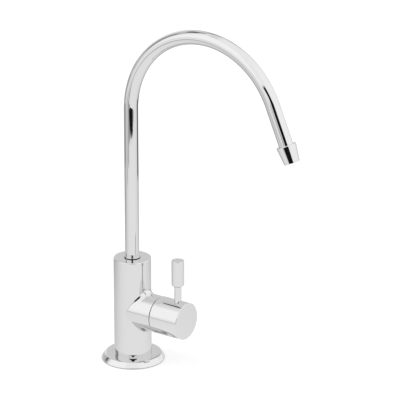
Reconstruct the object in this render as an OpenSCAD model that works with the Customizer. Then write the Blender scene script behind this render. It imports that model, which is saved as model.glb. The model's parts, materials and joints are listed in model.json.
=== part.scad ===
// Drinking water filter tap: a swivelling gooseneck spout on a slim valve body, with a
// quarter-turn ceramic disc valve worked by a lever handle on the side of the body.
// Millimetres, +Z up. The origin is on the body's axis at the worktop's surface, and
// +X runs along the valve axis towards the handle.

/* [Valve body] */
// Diameter of the upright body
body_d = 26.8; // [26.6:0.1:30]
// Height of the body's top face above the worktop
body_top_z = 77.3; // [76:0.1:95]
// Rounding of the body's top edge
body_edge_r = 0.6; // [0.2:0.1:1.2]
// Height of the valve axis above the worktop
valve_z = 38.8; // [37:0.1:40]
// Diameter of the side boss that takes the cartridge
boss_d = 26.2; // [25:0.1:26.4]
// Distance of the boss's face from the body's axis
boss_face_x = 23.6; // [23:0.1:28]
// Radius of the fillet between boss and body
boss_fillet_r = 4; // [2:0.1:4.4]
// Bore of the waterway up the body
waterway_d = 6; // [5:0.1:6.4]
// Diameter of the drilling from the valve up to the spout
outlet_d = 4.4; // [3:0.1:5]

/* [Base] */
// Diameter of the base flange
flange_d = 45.4; // [42:0.2:60]
// Height of the base flange where the body stands on it
flange_h = 4.4; // [4.2:0.1:6.5]
// Inner diameter of the flange's crown, the level ring of its top
flange_crown_d = 34.8; // [32:0.2:36]
// Outer diameter of the crown
flange_crown_end_d = 37.4; // [36.4:0.2:38.4]
// Rise of the crown above the body's foot
flange_crown_rise = 0.18; // [0.1:0.01:0.4]
// Diameter of the flange's shoulder, where its bevel starts
flange_shoulder_d = 41; // [39.8:0.2:41.4]
// Fall from the crown to the shoulder
flange_shoulder_fall = 0.31; // [0.2:0.01:0.6]
// Radius to which the flange's bevel bulges
flange_bevel_r = 18; // [14:0.5:40]
// Rounding of the flange's lower edge
flange_edge_r = 0.6; // [0.3:0.1:0.8]
// Diameter of the rubber gasket under the flange
gasket_d = 37; // [30:0.5:38]
// Thickness of the rubber gasket
gasket_t = 2.6; // [1.5:0.1:3]

/* [Shank and deck fixing] */
// Outer diameter of the threaded shank
shank_d = 11.9; // [11:0.1:12.5]
// Length of shank screwed up into the body
shank_in_body = 14.6; // [10:0.1:16]
// Length of shank below the worktop's surface
shank_below = 52; // [50:0.5:80]
// Gap between gasket and deck washer, for the worktop
deck_gap = 20; // [10:0.5:24]
// Diameter of the deck washer
deck_washer_d = 32; // [26:0.5:40]
// Thickness of the deck washer
deck_washer_t = 3; // [2:0.1:4]
// Diameter of the lock washer
lock_washer_d = 21; // [19:0.5:24]
// Thickness of the lock washer
lock_washer_t = 1; // [0.6:0.1:1.6]
// Teeth round the lock washer
lock_washer_teeth = 12; // [8:1:16]
// Width across flats of the mounting nut
mount_nut_af = 18; // [17:0.5:22]
// Height of the mounting nut
mount_nut_h = 6; // [5:0.1:8]

/* [Inlet fitting] */
// Outer diameter of the supply tube that pushes in
supply_tube_d = 6.35; // [6:0.05:6.5]
// Depth of the supply tube's socket in the shank
tube_socket_depth = 14; // [8:0.5:18]
// Width across flats of the inlet nut
inlet_nut_af = 17; // [16:0.5:20]
// Height of the inlet nut
inlet_nut_h = 14; // [13:0.5:18]
// Thickness of the inlet nut's end wall
inlet_nut_wall = 4.5; // [3:0.1:5]
// Length of shank that the inlet nut covers
inlet_nut_grip = 4; // [3:0.1:5]

/* [Cartridge] */
// Depth of the valve chamber below the boss's face
chamber_depth = 18.6; // [17.6:0.1:19.4]
// Diameter of the valve chamber
chamber_d = 15.8; // [14.6:0.1:16]
// Diameter of the cartridge's threaded part
cartridge_thread_d = 16.7; // [16.4:0.1:18]
// Length of the cartridge's threaded part
cartridge_thread_len = 8.6; // [6:0.1:9]
// Diameter of the cartridge's slotted sleeve
sleeve_d = 12.8; // [12.4:0.1:13.6]
// Inside diameter of the sleeve, which guides the discs
sleeve_bore = 11; // [10.6:0.1:11.4]
// Width across flats of the cartridge's hexagon
cartridge_af = 18; // [17:0.1:18.4]
// Height of the cartridge's hexagon
cartridge_hex_h = 4; // [3:0.1:4.5]
// Thickness of the gasket under the hexagon
cartridge_gasket_t = 0.8; // [0.5:0.1:1.2]
// Diameter of the neck above the hexagon
neck_d = 12; // [11:0.1:13]
// Height of the neck above the hexagon
neck_h = 2.6; // [2.2:0.1:3]
// Height of the stop notch in the neck
stop_h = 1.5; // [1:0.1:1.8]
// Thickness of the rubber seal on the valve seat
seat_seal_t = 2.4; // [2:0.1:2.8]
// Thickness of each ceramic disc
disc_t = 2.4; // [2:0.1:2.6]
// Room above the moving disc for the water to leave
disc_outlet_h = 1.8; // [1.4:0.1:2]
// Angle that each port in a disc spans, in degrees
disc_port_angle = 80; // [60:1:84]
// Quarter turn of the handle from shut to open, in degrees
valve_turn = 90; // [80:1:95]

/* [Spindle] */
// Diameter of the valve spindle
stem_d = 8; // [7:0.1:8.4]
// Thickness of the spindle's driving collar
collar_t = 1.8; // [1.2:0.1:2.2]
// Width of the tongue that drives the moving disc
tongue_w = 3.6; // [2.5:0.1:4]
// Depth of the tongue in the moving disc
tongue_depth = 0.8; // [0.5:0.1:1.2]
// Thickness of the slip washer behind the collar
thrust_washer_t = 0.5; // [0.3:0.05:0.8]
// Section diameter of the spindle's O-rings
stem_ring_d = 1.1; // [0.9:0.05:1.2]
// Thickness of the spindle's spring clip
stem_clip_t = 0.6; // [0.4:0.05:0.8]
// Teeth of the spindle's serrated end
spline_teeth = 20; // [16:1:24]
// Length of the serrated end
spline_len = 5.8; // [5:0.1:6.5]

/* [Handle] */
// Diameter of the handle's cylinder
handle_d = 26.6; // [26:0.1:30]
// Length of the handle's cylinder
handle_len = 23.1; // [22:0.1:30]
// Rounding of the handle's outer edge
handle_edge_r = 0.5; // [0.2:0.1:1.5]
// Wall of the handle's skirt round the cartridge
handle_wall = 1.9; // [1.4:0.1:2]
// Distance of the lever from the handle's skirt edge
lever_from_skirt = 15.7; // [15:0.1:18]
// Diameter of the lever's slim stem
lever_stem_d = 5.1; // [4.6:0.1:7]
// Diameter of the lever's grip
lever_grip_d = 9.06; // [8:0.02:12]
// Height of the grip's top above the valve axis
lever_top_h = 44.6; // [42:0.1:60]
// Length of the grip
lever_grip_len = 18.2; // [12:0.1:24]
// Chamfer between grip and stem
lever_chamfer = 1; // [0.4:0.1:1.2]
// Rounding of the grip's top edge
lever_edge_r = 0.35; // [0.1:0.05:1]
// Diameter of the lever's threaded end
lever_thread_d = 4; // [3:0.1:4.4]
// Length of the lever's threaded end
lever_thread_len = 6.8; // [4:0.1:7]
// Diameter of the grub screw
grub_d = 4; // [3:0.1:5]
// Length of the grub screw
grub_len = 8; // [5:0.1:8.8]
// Width across flats of the grub screw's key socket
grub_key_af = 2; // [1.5:0.1:2.5]

/* [Spout] */
// Outer diameter of the spout's tube
tube_d = 10; // [9.5:0.1:10.4]
// Wall of the spout's tube
tube_wall = 1.1; // [0.8:0.05:1.3]
// Height above the worktop at which the tube starts to bend
bend_z = 187.5; // [120:0.5:260]
// Radius of the bend at the tube's axis
bend_r = 61.7; // [45:0.1:90]
// Angle that the tube bends through, in degrees
bend_angle = 156.7; // [120:0.1:180]
// Straight length between the bend and the nozzle
leg_len = 28.2; // [10:0.1:60]
// Outer diameter of the spigot that turns in the body
spigot_d = 11; // [10.9:0.05:11.4]
// Length of the spigot in the body
spigot_len = 18.7; // [18:0.1:20]
// Length of tube that is brazed into the spigot
tube_in_spigot = 8.8; // [7:0.1:9]
// Section diameter of the spigot's O-rings
spigot_ring_d = 1.04; // [0.9:0.02:1.1]
// Thickness of the retaining clip
spout_clip_t = 1; // [0.8:0.05:1.2]
// Width of the collar that shows at the tube's foot
foot_collar_w = 0.2; // [0.1:0.05:0.8]
// Height of the collar that shows at the tube's foot
foot_collar_h = 0.6; // [0.5:0.1:1.5]
// Thickness of the bearing washer under the collar
bearing_washer_t = 0.4; // [0.3:0.05:0.8]

/* [Nozzle] */
// Diameter of the nozzle at its upper end
nozzle_top_d = 13.8; // [13:0.1:18]
// Diameter of the nozzle at its mouth
nozzle_mouth_d = 11; // [10.6:0.1:13]
// Length of the nozzle
nozzle_len = 12.6; // [11:0.1:20]
// Rounding of the nozzle's edges
nozzle_edge_r = 0.5; // [0.2:0.1:0.8]
// Length of tube inside the nozzle
tube_in_nozzle = 6; // [4:0.1:7]
// Height of the lip that holds the flow straightener
nozzle_lip_h = 1; // [0.6:0.1:1.5]
// Width of that lip
nozzle_lip_w = 0.6; // [0.4:0.1:1]
// Diameter of each hole in the flow straightener
straightener_hole_d = 1.2; // [0.6:0.1:1.4]

/* [Fits] */
// Radial clearance of turning fits
running_gap = 0.05; // [0.02:0.01:0.09]
// Radial clearance of screwed and pushed fits
thread_gap = 0.05; // [0.02:0.01:0.1]
// Gap between the handle's skirt and the boss
handle_gap = 0.5; // [0.2:0.05:0.6]
// Water film and play between faces that slide
face_film = 0.02; // [0.01:0.01:0.05]

/* [Hidden] */
$fn = 96;
through = 1;
body_r = body_d / 2;
boss_r = boss_d / 2;
handle_r = handle_d / 2;
tube_r = tube_d / 2;
tube_bore_r = tube_r - tube_wall;
shank_r = shank_d / 2;
shank_hole_gap = 0.25;
shank_hole_r = shank_r + shank_hole_gap;
supply_gap = 0.075;
supply_bore_r = supply_tube_d / 2 + supply_gap;
lap = 0.5;

// Rings and clips in their grooves
o_ring_gap = 0.05;
o_ring_play = 0.4;
o_ring_seat = 0.01;
clip_mouth = 40;
clip_play = 0.2;

// Fillet between boss and body
fillet_bite = 0.12;
fillet_steps = 64;
fillet_arc_steps = 6;
fillet_sink = 1.2;

// Places along the valve axis, from the seat outwards
seat_x = boss_face_x - chamber_depth;
fixed_disc_x = seat_x + seat_seal_t;
moving_disc_x = fixed_disc_x + disc_t + face_film;
moving_disc_top_x = moving_disc_x + disc_t;
collar_x = moving_disc_top_x + disc_outlet_h;
thrust_x = collar_x + collar_t;
shoulder_x = thrust_x + thrust_washer_t + face_film;
thread_x = boss_face_x - cartridge_thread_len;
hex_x = boss_face_x + cartridge_gasket_t;
neck_x = hex_x + cartridge_hex_h;
neck_end_x = neck_x + neck_h;
clip_gap = 0.1;
stem_clip_x = neck_end_x + clip_gap;
web_gap = 0.5;
web_x = stem_clip_x + stem_clip_t + web_gap;
handle_x = boss_face_x + handle_gap;
handle_end_x = handle_x + handle_len;
lever_x = handle_x + lever_from_skirt;

// Fits of the cartridge
stem_r = stem_d / 2;
stem_bore_r = stem_r + running_gap;
sleeve_r = sleeve_d / 2;
sleeve_bore_r = sleeve_bore / 2;
disc_r = sleeve_bore_r - running_gap;
port_in_share = 0.28;
port_out_share = 0.82;
port_in_r = disc_r * port_in_share;
port_out_r = disc_r * port_out_share;
seat_port_share = 0.9;
seat_seal_lap = 0.6;
disc_key_w = 2;
disc_key_gap = 0.4;
window_play = 0.2;
cartridge_gasket_lip = 0.4;
thread_bore_r = cartridge_thread_d / 2 + thread_gap;
stem_groove_r = stem_bore_r - o_ring_gap - stem_ring_d;
stem_groove_w = stem_ring_d + o_ring_play;
stem_ring_from = 2;
stem_ring_pitch = 3;
stem_ring_xs = [for (i = [0, 1]) shoulder_x + stem_ring_from + i * stem_ring_pitch];
stem_clip_bite = 0.6;
stem_clip_reach = 1.4;
stem_clip_groove_r = stem_r - stem_clip_bite;
stop_lug_angle = 28;
stop_play = 1;
stop_gap = 0.1;
stop_lug_gap = 0.2;
stop_lug_from = 200;
spline_r = stem_r - running_gap;
spline_depth = 0.5;
spline_root_r = spline_r - spline_depth;
spline_lap = 0.1;
spline_play = 0.4;

// Fits of the handle
handle_bore_r = handle_r - handle_wall;
skirt_break = 0.2;
lever_sink = 0.3;
lever_thread_play = 0.3;
grub_x = web_x + spline_len / 2;
grub_gap = 0.03;

// Places up the spout socket
socket_r = spigot_d / 2 + running_gap;
spigot_r = spigot_d / 2;
spigot_bottom_z = body_top_z - spigot_len;
socket_play = 0.6;
socket_floor_z = spigot_bottom_z - socket_play;
tube_end_z = body_top_z - tube_in_spigot;
spout_clip_land = 1.4;
spout_clip_z = tube_end_z - spout_clip_land - spout_clip_t;
spout_clip_bite = 1.1;
spout_clip_reach = 0.7;
spout_clip_groove_r = spigot_r - spout_clip_bite;
spout_clip_r = spigot_r + spout_clip_reach;
spigot_groove_r = socket_r - o_ring_gap - spigot_ring_d;
spigot_groove_w = spigot_ring_d + o_ring_play;
spigot_lead_w = 0.4;
spigot_lead_h = 0.6;
spigot_ring_from = 2;
spigot_ring_pitch = 2.6;
spigot_ring_zs = [for (i = [0, 1]) spigot_bottom_z + spigot_ring_from + i * spigot_ring_pitch];
foot_collar_r = spigot_r + foot_collar_w;
foot_collar_break = 0.1;
bearing_washer_lip = 0.1;
foot_z = body_top_z + bearing_washer_t + 2 * face_film;
leg_step = 0.02;

// Flow straightener
straightener_rim = 0.4;
straightener_rows = 2;

// Places below the worktop
shank_top_z = flange_h + shank_in_body;
lock_washer_z = -deck_gap - deck_washer_t - lock_washer_t;
mount_nut_z = lock_washer_z - mount_nut_h;
inlet_nut_z = -shank_below + inlet_nut_grip - inlet_nut_h;
ferrule_z = inlet_nut_z + inlet_nut_wall;
ferrule_nose_h = 1.6;
ferrule_nose_w = 1.4;
ferrule_gap = 0.3;
ferrule_tip_w = 0.1;
ferrule_tip_gap = 0.12;
shank_play = 0.2;
shank_seal_d = 1.7;
shank_seal_gap = 0.1;
shank_seal_r = shank_r + shank_seal_gap + shank_seal_d / 2;
gasket_gap = 0.1;
flange_edge_end = 25;
tooth_gap_w = 1.6;
tooth_depth = 1.6;

function polar(c, r, a) = [c[0] + r * cos(a), c[1] + r * sin(a)];
// Points of an arc in the plane, from angle a to angle b
function arc(c, r, a, b, n = 8) = [for (i = [0:n]) polar(c, r, a + (b - a) * i / n)];
// Points of an arc of radius r from p to q that bulges to the right of its way
function bow(p, q, r, n = 8) =
    let (half = (q - p) / 2,
         c = p + half + [-half[1], half[0]] / norm(half) * sqrt(r * r - half * half))
    arc(c, r, atan2(p[1] - c[1], p[0] - c[0]), atan2(q[1] - c[1], q[0] - c[0]), n);
// Radius of an arc that starts level and falls h over a width w
function falling_r(w, h) = (w * w + h * h) / (2 * h);
function unit(v) = v / norm(v);
// Direction a share k of the way along the great circle from u to v
function slerp(u, v, k) =
    let (w = acos(max(-1, min(1, u * v))))
    (sin((1 - k) * w) * u + sin(k * w) * v) / sin(w);
// Outline of a serrated shaft with tips at tip_r and roots at root_r
function serration(tip_r, root_r, n) =
    [for (i = [0:2 * n - 1]) polar([0, 0], i % 2 == 0 ? tip_r : root_r, 180 * i / n)];

// Stands children on the valve axis at distance x, with their own Z along +X
module on_valve_axis(x) { translate([x, 0, valve_z]) rotate([0, 90, 0]) children(); }
// Stands children on the spout's last straight leg, with their own Z along the flow
module on_leg(s) {
    translate([bend_r * (1 - cos(bend_angle)), 0, bend_z + bend_r * sin(bend_angle)])
        rotate([0, bend_angle, 0]) translate([0, 0, s]) children();
}
module ring(outer_r, inner_r, h) {
    difference() {
        cylinder(r = outer_r, h = h);
        translate([0, 0, -through]) cylinder(r = inner_r, h = h + 2 * through);
    }
}
module sector(inner_r, outer_r, h, from, to) {
    rotate([0, 0, from]) rotate_extrude(angle = to - from)
        translate([inner_r, 0]) square([outer_r - inner_r, h]);
}
module hexagon(af, h) { cylinder(d = af / cos(30), h = h, $fn = 6); }
module o_ring(groove_r, section_d) {
    rotate_extrude() translate([groove_r + section_d / 2 + o_ring_seat, 0]) circle(d = section_d, $fn = 32);
}
// Collar that fills the corner between body and boss with a rolled fillet. A ball that
// touches both cylinders is carried round the boss, and each section is the part of the
// corner that the ball can't reach. The ball bites a little into both so that they fuse.
function fillet_centre(t) =
    let (y = (boss_r + boss_fillet_r - fillet_bite) * cos(t),
         reach = body_r + boss_fillet_r - fillet_bite)
    [sqrt(reach * reach - y * y), y, (boss_r + boss_fillet_r - fillet_bite) * sin(t)];
function fillet_section(t) =
    let (c = fillet_centre(t),
         to_body = unit([-c[0], -c[1], 0]),
         to_boss = [0, -cos(t), -sin(t)],
         middle = slerp(to_body, to_boss, 0.5),
         corner = boss_fillet_r / (to_body * middle) + fillet_sink)
    concat([for (j = [0:fillet_arc_steps])
               c + boss_fillet_r * slerp(to_body, to_boss, j / fillet_arc_steps)],
           [c + corner * middle]);
module boss_fillet() {
    n = fillet_arc_steps + 2;
    points = [for (i = [0:fillet_steps - 1]) each fillet_section(360 * i / fillet_steps)];
    faces = [for (i = [0:fillet_steps - 1]) for (j = [0:n - 1])
        let (a = i * n, b = (i + 1) % fillet_steps * n, k = (j + 1) % n)
        each [[a + j, b + k, b + j], [a + j, a + k, b + k]]];
    translate([0, 0, valve_z]) polyhedron(points, faces);
}

module body_waterways() {
    // Shank thread, its seal and the rising waterway
    translate([0, 0, flange_h - through])
        cylinder(r = shank_r + thread_gap, h = shank_in_body + shank_play + through);
    translate([0, 0, flange_h - through])
        cylinder(r = shank_seal_r + shank_seal_d / 2 + o_ring_gap,
                 h = shank_seal_d + 2 * o_ring_gap + through);
    translate([0, 0, flange_h]) cylinder(d = waterway_d, h = valve_z - flange_h + waterway_d / 4);
    // Seat port, valve chamber and cartridge thread
    on_valve_axis(0) cylinder(d = waterway_d * seat_port_share, h = seat_x + through);
    on_valve_axis(seat_x) cylinder(d = chamber_d, h = chamber_depth);
    on_valve_axis(thread_x) cylinder(r = thread_bore_r, h = cartridge_thread_len + through);
    // Drilling from the chamber up to the spout socket
    run = (moving_disc_top_x + collar_x) / 2;
    drop = socket_floor_z - valve_z - sleeve_r;
    translate([0, 0, socket_floor_z]) rotate([0, 180 - atan2(run, drop), 0])
        translate([0, 0, -outlet_d / 4]) cylinder(d = outlet_d, h = norm([run, drop]) + outlet_d / 4);
    // Spout socket and the groove that its clip snaps into
    translate([0, 0, socket_floor_z]) cylinder(r = socket_r, h = body_top_z - socket_floor_z + through);
    translate([0, 0, spout_clip_z - clip_play])
        cylinder(r = spout_clip_r + clip_play, h = spout_clip_t + 2 * clip_play);
}

module body() {
    color("silver") difference() {
        union() {
            rotate_extrude() polygon(concat([[0, flange_h], [body_r, flange_h]],
                arc([body_r - body_edge_r, body_top_z - body_edge_r], body_edge_r, 0, 90),
                [[0, body_top_z]]));
            on_valve_axis(0) cylinder(r = boss_r, h = boss_face_x);
            boss_fillet();
        }
        body_waterways();
    }
}

module base_flange() {
    crown_z = flange_h + flange_crown_rise;
    inner_w = flange_crown_d / 2 - body_r;
    inner_r = falling_r(inner_w, flange_crown_rise);
    outer_w = (flange_shoulder_d - flange_crown_end_d) / 2;
    outer_r = falling_r(outer_w, flange_shoulder_fall);
    // The lower edge turns up into a bevel, and the crown falls to the bevel and to the body's foot
    edge = arc([flange_d / 2 - flange_edge_r, flange_edge_r], flange_edge_r, -90, flange_edge_end);
    top = arc([flange_crown_end_d / 2, crown_z - outer_r], outer_r, 90 - asin(outer_w / outer_r), 90);
    color("silver") difference() {
        rotate_extrude() polygon(concat([[shank_hole_r, 0]], edge,
            bow(edge[len(edge) - 1], top[0], flange_bevel_r), top,
            arc([flange_crown_d / 2, crown_z - inner_r], inner_r, 90, 90 + asin(inner_w / inner_r)),
            [[shank_hole_r, flange_h]]));
        translate([0, 0, -through]) cylinder(d = gasket_d + 2 * gasket_gap, h = gasket_t + through);
    }
}

module flange_gasket() { color("dimgray") ring(gasket_d / 2, shank_hole_r, gasket_t); }

module shank() {
    color("goldenrod") difference() {
        translate([0, 0, -shank_below]) cylinder(r = shank_r, h = shank_below + shank_top_z);
        translate([0, 0, -shank_below - through])
            cylinder(d = waterway_d, h = shank_below + shank_top_z + 2 * through);
        translate([0, 0, -shank_below - through])
            cylinder(r = supply_bore_r, h = tube_socket_depth + through);
        translate([0, 0, -shank_below])
            cylinder(r1 = supply_bore_r + ferrule_nose_w, r2 = supply_bore_r, h = ferrule_nose_h);
    }
}

module shank_seal() {
    color("dimgray") translate([0, 0, flange_h + shank_seal_d / 2 + o_ring_seat])
        o_ring(shank_r + shank_seal_gap - o_ring_seat, shank_seal_d);
}

module deck_washer() {
    color("dimgray") translate([0, 0, -deck_gap - deck_washer_t])
        ring(deck_washer_d / 2, shank_hole_r, deck_washer_t);
}

module lock_washer() {
    color("lightsteelblue") translate([0, 0, lock_washer_z]) difference() {
        ring(lock_washer_d / 2, shank_hole_r, lock_washer_t);
        for (i = [1:lock_washer_teeth]) rotate([0, 0, 360 * i / lock_washer_teeth])
            translate([lock_washer_d / 2 - tooth_depth, -tooth_gap_w / 2, -through])
                cube([2 * tooth_depth, tooth_gap_w, lock_washer_t + 2 * through]);
    }
}

module mounting_nut() {
    color("goldenrod") translate([0, 0, mount_nut_z]) difference() {
        hexagon(mount_nut_af, mount_nut_h);
        translate([0, 0, -through])
            cylinder(r = shank_r + thread_gap, h = mount_nut_h + 2 * through);
    }
}

module inlet_nut() {
    color("goldenrod") translate([0, 0, inlet_nut_z]) difference() {
        hexagon(inlet_nut_af, inlet_nut_h);
        translate([0, 0, inlet_nut_wall]) cylinder(r = shank_r + thread_gap, h = inlet_nut_h);
        translate([0, 0, -through]) cylinder(r = supply_bore_r, h = inlet_nut_wall + 2 * through);
    }
}

module inlet_ferrule() {
    h = -shank_below - ferrule_z;
    tip_h = h + ferrule_nose_h - ferrule_tip_gap;
    color("white") translate([0, 0, ferrule_z]) rotate_extrude() polygon([
        [supply_bore_r, 0], [shank_r - ferrule_gap, 0], [shank_r - ferrule_gap, h],
        [supply_bore_r + ferrule_nose_w, h], [supply_bore_r + ferrule_tip_w, tip_h],
        [supply_bore_r, tip_h]]);
}

module cartridge_body() {
    window_x = moving_disc_top_x - window_play;
    window_h = disc_outlet_h + 2 * window_play;
    color("goldenrod") difference() {
        union() {
            on_valve_axis(seat_x + seat_seal_t / 3) cylinder(r = sleeve_r, h = thread_x - seat_x);
            on_valve_axis(thread_x) cylinder(d = cartridge_thread_d, h = hex_x - thread_x + lap);
            on_valve_axis(hex_x) hexagon(cartridge_af, cartridge_hex_h);
            on_valve_axis(neck_x - lap) cylinder(d = neck_d, h = neck_h + lap);
        }
        on_valve_axis(seat_x - through) cylinder(r = sleeve_bore_r, h = shoulder_x - seat_x + through);
        on_valve_axis(shoulder_x - through)
            cylinder(r = stem_bore_r, h = neck_end_x - shoulder_x + 2 * through);
        // Two windows that let the water out, and two slots that key the fixed disc
        for (a = [0, 180]) on_valve_axis(window_x)
            sector(sleeve_bore_r - through, sleeve_r + through, window_h,
                   a - disc_port_angle / 2, a + disc_port_angle / 2);
        for (a = [90, 270]) on_valve_axis(seat_x) rotate([0, 0, a])
            translate([sleeve_bore_r - through, -disc_key_w / 2 - thread_gap, 0])
                cube([sleeve_r, disc_key_w + 2 * thread_gap, fixed_disc_x + disc_t - seat_x]);
        // Notch whose ends stop the spindle's lug
        on_valve_axis(neck_end_x - stop_h) sector(stem_r - through, neck_d, stop_h + through,
            stop_lug_from - stop_play, stop_lug_from + stop_lug_angle + valve_turn + stop_play);
    }
}

module cartridge_gasket() {
    color("firebrick") on_valve_axis(boss_face_x)
        ring(cartridge_af / 2 + cartridge_gasket_lip, thread_bore_r, cartridge_gasket_t);
}

module seat_seal() {
    color("dimgray") on_valve_axis(seat_x) ring(disc_r, port_out_r - seat_seal_lap, seat_seal_t);
}

// Ceramic disc with two facing ports, centred at the given angle
module ported_disc(at) {
    difference() {
        cylinder(r = disc_r, h = disc_t);
        for (a = [at, at + 180]) translate([0, 0, -through])
            sector(port_in_r, port_out_r, disc_t + 2 * through,
                   a - disc_port_angle / 2, a + disc_port_angle / 2);
    }
}

module fixed_disc() {
    color("ivory") on_valve_axis(fixed_disc_x) union() {
        ported_disc(0);
        for (a = [90, 270]) rotate([0, 0, a]) translate([disc_r - through, -disc_key_w / 2, 0])
            cube([sleeve_r - disc_r + through - disc_key_gap, disc_key_w, disc_t]);
    }
}

module moving_disc() {
    color("ivory") on_valve_axis(moving_disc_x) difference() {
        ported_disc(90);
        translate([-disc_r - through, -tongue_w / 2 - thread_gap, disc_t - tongue_depth])
            cube([2 * disc_r + 2 * through, tongue_w + 2 * thread_gap, disc_t]);
    }
}

module stem() {
    tongue_x = moving_disc_top_x - tongue_depth;
    tongue_h = collar_x - tongue_x + collar_t / 2;
    color("goldenrod") difference() {
        union() {
            on_valve_axis(tongue_x) intersection() {
                translate([-disc_r, -tongue_w / 2, 0]) cube([2 * disc_r, tongue_w, tongue_h]);
                cylinder(r = disc_r, h = tongue_h);
            }
            on_valve_axis(collar_x) cylinder(r = disc_r, h = collar_t);
            on_valve_axis(collar_x + collar_t / 2)
                cylinder(r = stem_r, h = web_x - collar_x - collar_t / 2);
            on_valve_axis(neck_end_x - stop_h + stop_gap)
                sector(stem_r - through, neck_d / 2 - stop_lug_gap, stop_h - stop_gap,
                       stop_lug_from, stop_lug_from + stop_lug_angle);
            on_valve_axis(web_x - spline_lap) linear_extrude(spline_len + spline_lap)
                polygon(serration(spline_r, spline_root_r, spline_teeth));
        }
        for (x = stem_ring_xs) on_valve_axis(x - stem_groove_w / 2)
            ring(stem_r + through, stem_groove_r, stem_groove_w);
        on_valve_axis(stem_clip_x - face_film)
            ring(stem_r + through, stem_clip_groove_r, stem_clip_t + 2 * face_film);
    }
}

module thrust_washer() {
    color("white") on_valve_axis(thrust_x) ring(disc_r, stem_bore_r, thrust_washer_t);
}

module stem_o_rings() {
    color("dimgray") for (x = stem_ring_xs) on_valve_axis(x) o_ring(stem_groove_r, stem_ring_d);
}

module stem_clip() {
    color("lightsteelblue") on_valve_axis(stem_clip_x)
        sector(stem_clip_groove_r + face_film, stem_r + stem_clip_reach, stem_clip_t,
               clip_mouth / 2, 360 - clip_mouth / 2);
}

module handle_cap() {
    lever_seat = handle_r - lever_sink;
    color("silver") difference() {
        on_valve_axis(0) rotate_extrude() polygon(concat(
            [[0, web_x], [handle_bore_r, web_x], [handle_bore_r, handle_x]],
            [[handle_r - skirt_break, handle_x], [handle_r, handle_x + skirt_break]],
            arc([handle_r - handle_edge_r, handle_end_x - handle_edge_r], handle_edge_r, 0, 90),
            [[0, handle_end_x]]));
        on_valve_axis(web_x - through) linear_extrude(spline_len + spline_play + through)
            polygon(serration(spline_r + thread_gap, spline_root_r + thread_gap, spline_teeth));
        // Lever's thread and seat above, grub screw's thread below
        translate([lever_x, 0, valve_z + lever_seat - lever_thread_len - lever_thread_play])
            cylinder(r = lever_thread_d / 2 + thread_gap, h = handle_r);
        translate([lever_x, 0, valve_z + lever_seat])
            cylinder(r = lever_stem_d / 2 + thread_gap, h = handle_r);
        translate([grub_x, 0, valve_z]) rotate([180, 0, 0])
            cylinder(r = grub_d / 2 + thread_gap, h = handle_r + through);
    }
}

module grub_screw() {
    color("dimgray") translate([grub_x, 0, valve_z - spline_r - grub_gap]) rotate([180, 0, 0])
        difference() {
            cylinder(d = grub_d, h = grub_len);
            translate([0, 0, grub_len / 2]) hexagon(grub_key_af, grub_len);
        }
}

module lever() {
    foot = handle_r - lever_sink;
    grip_r = lever_grip_d / 2;
    stem_edge = lever_stem_d / 2;
    grip_foot = lever_top_h - lever_grip_len;
    color("silver") translate([lever_x, 0, valve_z]) rotate_extrude() polygon(concat(
        [[0, foot - lever_thread_len], [lever_thread_d / 2, foot - lever_thread_len]],
        [[lever_thread_d / 2, foot]],
        [[stem_edge, foot], [stem_edge, grip_foot - lever_chamfer]],
        [[grip_r - lever_chamfer, grip_foot - lever_chamfer], [grip_r, grip_foot]],
        arc([grip_r - lever_edge_r, lever_top_h - lever_edge_r], lever_edge_r, 0, 90), [[0, lever_top_h]]));
}

// Outline of radius r carried up the riser, round the bend and down the leg. The leg
// starts a little inside the bend and is finer by a hair, so that the two fuse cleanly.
module tube_run(r, over) {
    translate([0, 0, tube_end_z - over]) cylinder(r = r, h = bend_z - tube_end_z + over);
    translate([bend_r, 0, bend_z]) rotate([90, 0, 0])
        rotate_extrude(angle = -bend_angle, start = 180) translate([bend_r, 0]) circle(r = r);
    on_leg(-lap) cylinder(r = r - leg_step, h = lap + leg_len + tube_in_nozzle + over);
}

module spout_tube() {
    color("silver") difference() {
        tube_run(tube_r, 0);
        tube_run(tube_bore_r, through);
    }
}

module spout_spigot() {
    collar_top_z = foot_z + foot_collar_h;
    tube_seat_r = tube_r + face_film;
    color("silver") difference() {
        rotate_extrude() polygon([
            [tube_bore_r, spigot_bottom_z], [spigot_r - spigot_lead_w, spigot_bottom_z],
            [spigot_r, spigot_bottom_z + spigot_lead_h], [spigot_r, foot_z], [foot_collar_r, foot_z],
            [foot_collar_r, collar_top_z - foot_collar_break],
            [foot_collar_r - foot_collar_break, collar_top_z],
            [tube_seat_r, collar_top_z], [tube_seat_r, tube_end_z], [tube_bore_r, tube_end_z]]);
        for (z = spigot_ring_zs) translate([0, 0, z - spigot_groove_w / 2])
            ring(spigot_r + through, spigot_groove_r, spigot_groove_w);
        translate([0, 0, spout_clip_z - face_film])
            ring(spigot_r + through, spout_clip_groove_r, spout_clip_t + 2 * face_film);
    }
}

module spigot_o_rings() {
    color("dimgray") for (z = spigot_ring_zs) translate([0, 0, z]) o_ring(spigot_groove_r, spigot_ring_d);
}

module spout_clip() {
    color("white") translate([0, 0, spout_clip_z])
        sector(spout_clip_groove_r + face_film, spout_clip_r, spout_clip_t,
               clip_mouth / 2, 360 - clip_mouth / 2);
}

module bearing_washer() {
    color("black") translate([0, 0, body_top_z + face_film])
        ring(foot_collar_r + bearing_washer_lip, spigot_r + face_film, bearing_washer_t);
}

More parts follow.
